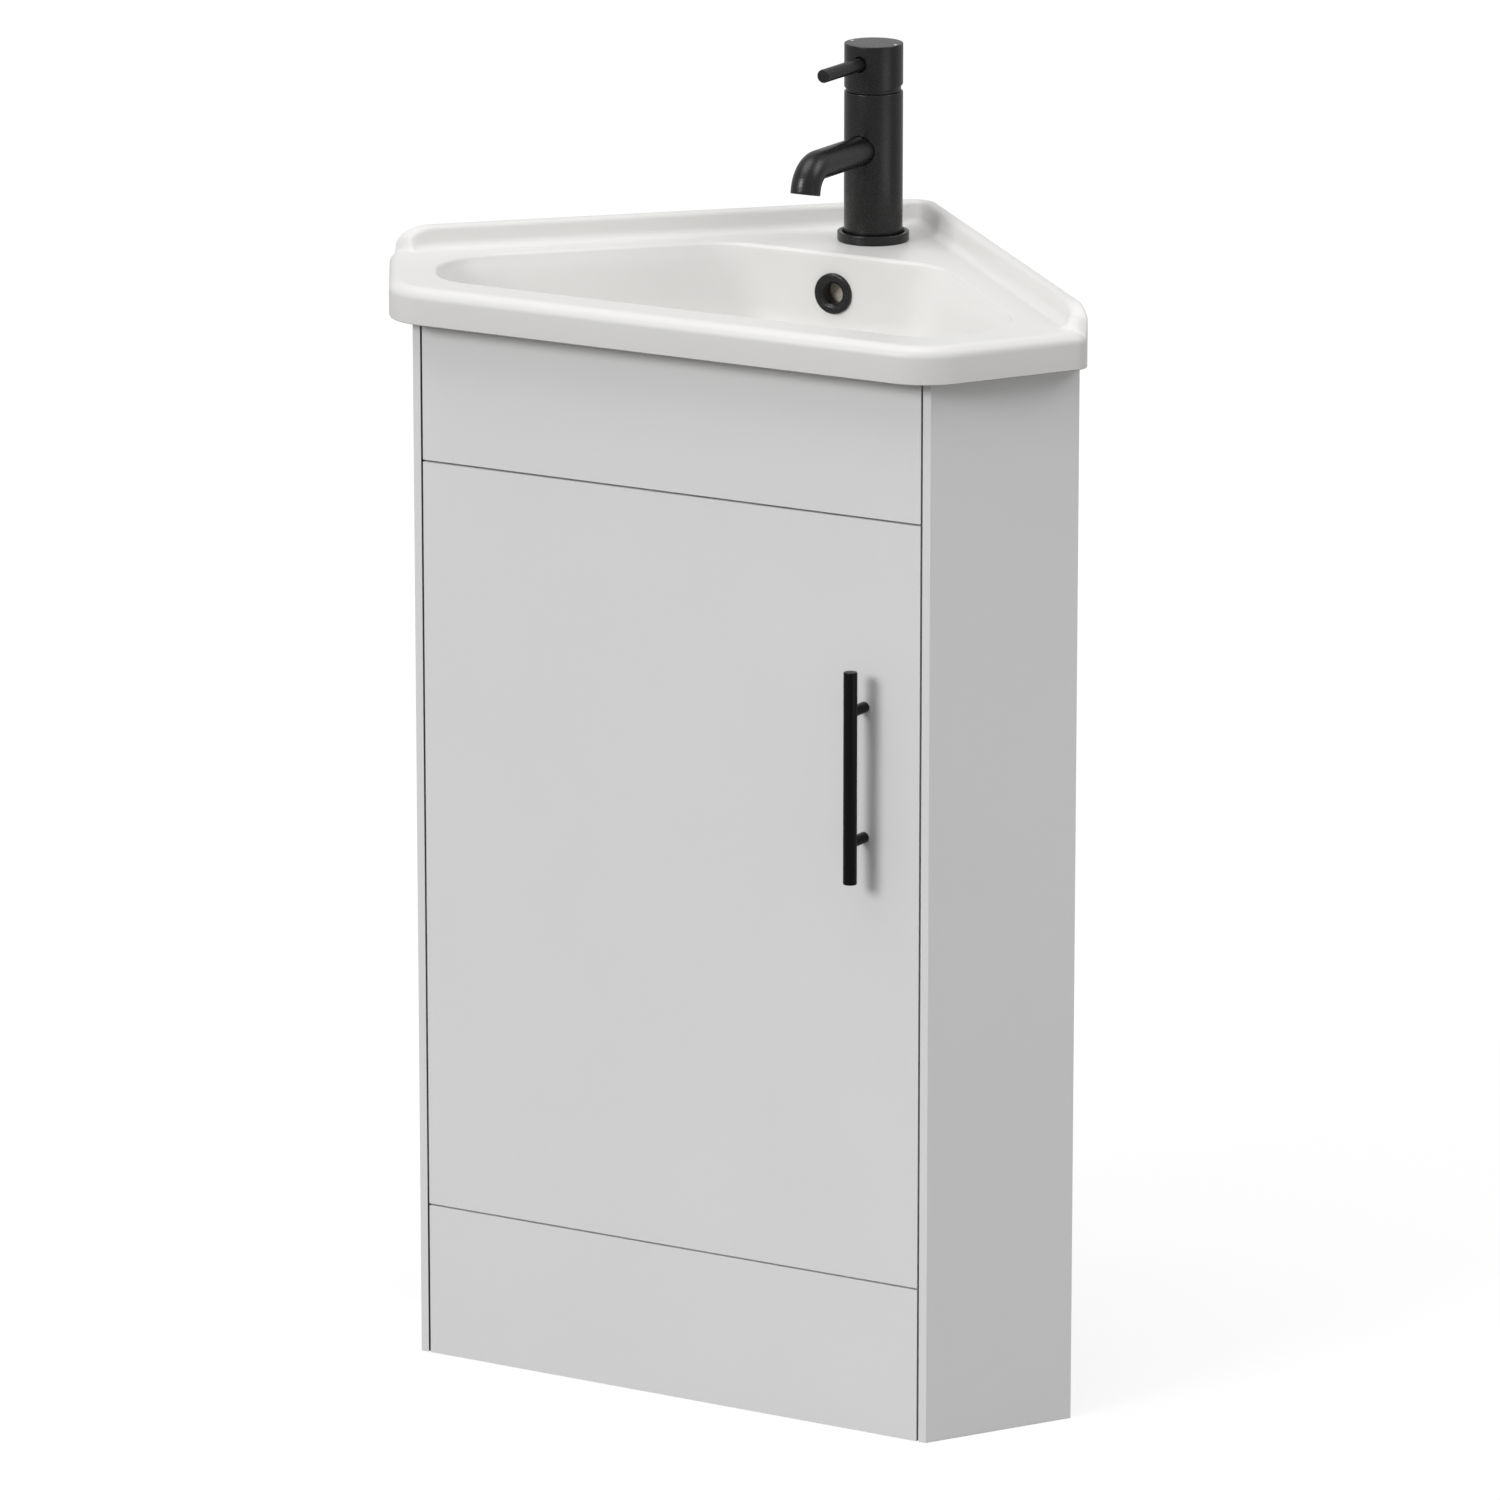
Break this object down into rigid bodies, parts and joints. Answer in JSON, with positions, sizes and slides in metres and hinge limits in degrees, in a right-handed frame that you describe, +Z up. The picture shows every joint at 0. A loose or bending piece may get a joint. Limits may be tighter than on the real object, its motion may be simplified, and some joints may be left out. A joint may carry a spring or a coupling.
{
  "type": "corner vanity unit",
  "caption": "Corner vanity unit: a flared one-door cabinet that fits a right-angled wall corner, with a ceramic corner basin, waste and black lever tap.",
  "frame": {"origin": "middle of the bounding box on the floor, under the cabinet", "axes": "+X to the right seen from the front, +Y from the door towards the wall corner, +Z up"},
  "size_m": [0.578, 0.4066, 0.9607],
  "materials": {
    "front_panel": "satin painted fibreboard, pale grey-white",
    "carcass": "melamine faced board, pale grey",
    "zinc": "die-cast, nickel plated",
    "clear_plastic": "moulded",
    "steel": "zinc plated",
    "ceramic": "gloss white glaze",
    "black_brass": "fine satin black coating",
    "black_steel": "fine satin black coating",
    "rubber": "moulded",
    "mark": "small pale insert"
  },
  "bodies": {
    "cabinet": {"left_end_panel": "front_panel", "right_end_panel": "front_panel", "plinth_board": "front_panel", "front_fascia": "front_panel", "left_gable": "carcass", "right_gable": "carcass", "base_panel": "carcass", "plinth_rail": "carcass", "front_rail": "carcass", "corner_post": "carcass", "left_top_rail": "carcass", "right_top_rail": "carcass", "left_low_rail": "carcass", "right_low_rail": "carcass", "cam_locks": "zinc", "upper_hinge_plate": "zinc", "lower_hinge_plate": "zinc", "upper_hinge_arm": "zinc", "lower_hinge_arm": "zinc", "aerator": "zinc", "cartridge_nut": "zinc", "clamp_plate": "zinc", "corner_blocks": "clear_plastic", "waste_washer": "clear_plastic", "waste_cartridge": "clear_plastic", "tap_cartridge": "clear_plastic", "plate_screws": "steel", "arm_screws": "steel", "tap_stud": "steel", "stud_nut": "steel", "basin": "ceramic", "overflow_ring": "black_brass", "waste_body": "black_brass", "waste_nut": "black_brass", "tap_body": "black_brass", "tap_flange": "black_brass", "spout": "black_brass", "waste_seal": "rubber", "tap_seal": "rubber", "clamp_washer": "rubber"},
    "door": {"door_panel": "front_panel", "handle_bar": "black_steel", "handle_posts": "black_steel", "handle_screws": "steel", "upper_hinge_cup": "zinc", "lower_hinge_cup": "zinc", "hinge_pins": "steel", "cup_screws": "steel", "door_bumpers": "clear_plastic"},
    "tap_swivel": {"swivel_collar": "black_brass", "cartridge_rotor": "clear_plastic", "tilt_pin": "steel"},
    "tap_lever": {"lever_cap": "black_brass", "lever_pin": "black_brass", "cartridge_spindle": "zinc", "grub_screw": "steel", "hot_mark": "mark", "cold_mark": "mark"},
    "plug": {"waste_plug": "black_brass", "plug_seal": "rubber"}
  },
  "joints": [
    {"name": "door_swing", "type": "hinge", "parent": "cabinet", "child": "door", "pos_m": [-0.1927, -0.16685, 0.398], "axis": [0, 0, -1], "range_deg": [0, 95]},
    {"name": "tap_temperature", "type": "hinge", "parent": "cabinet", "child": "tap_swivel", "pos_m": [0, 0.12115, 0.93], "axis": [0, 0, 1], "range_deg": [-45, 45]},
    {"name": "tap_flow", "type": "hinge", "parent": "tap_swivel", "child": "tap_lever", "pos_m": [0, 0.12115, 0.925], "axis": [-1, 0, 0], "range_deg": [0, 15]},
    {"name": "plug_lift", "type": "slide", "parent": "cabinet", "child": "plug", "axis": [0, 0, 1], "range_m": [0, 0.008]}
  ]
}
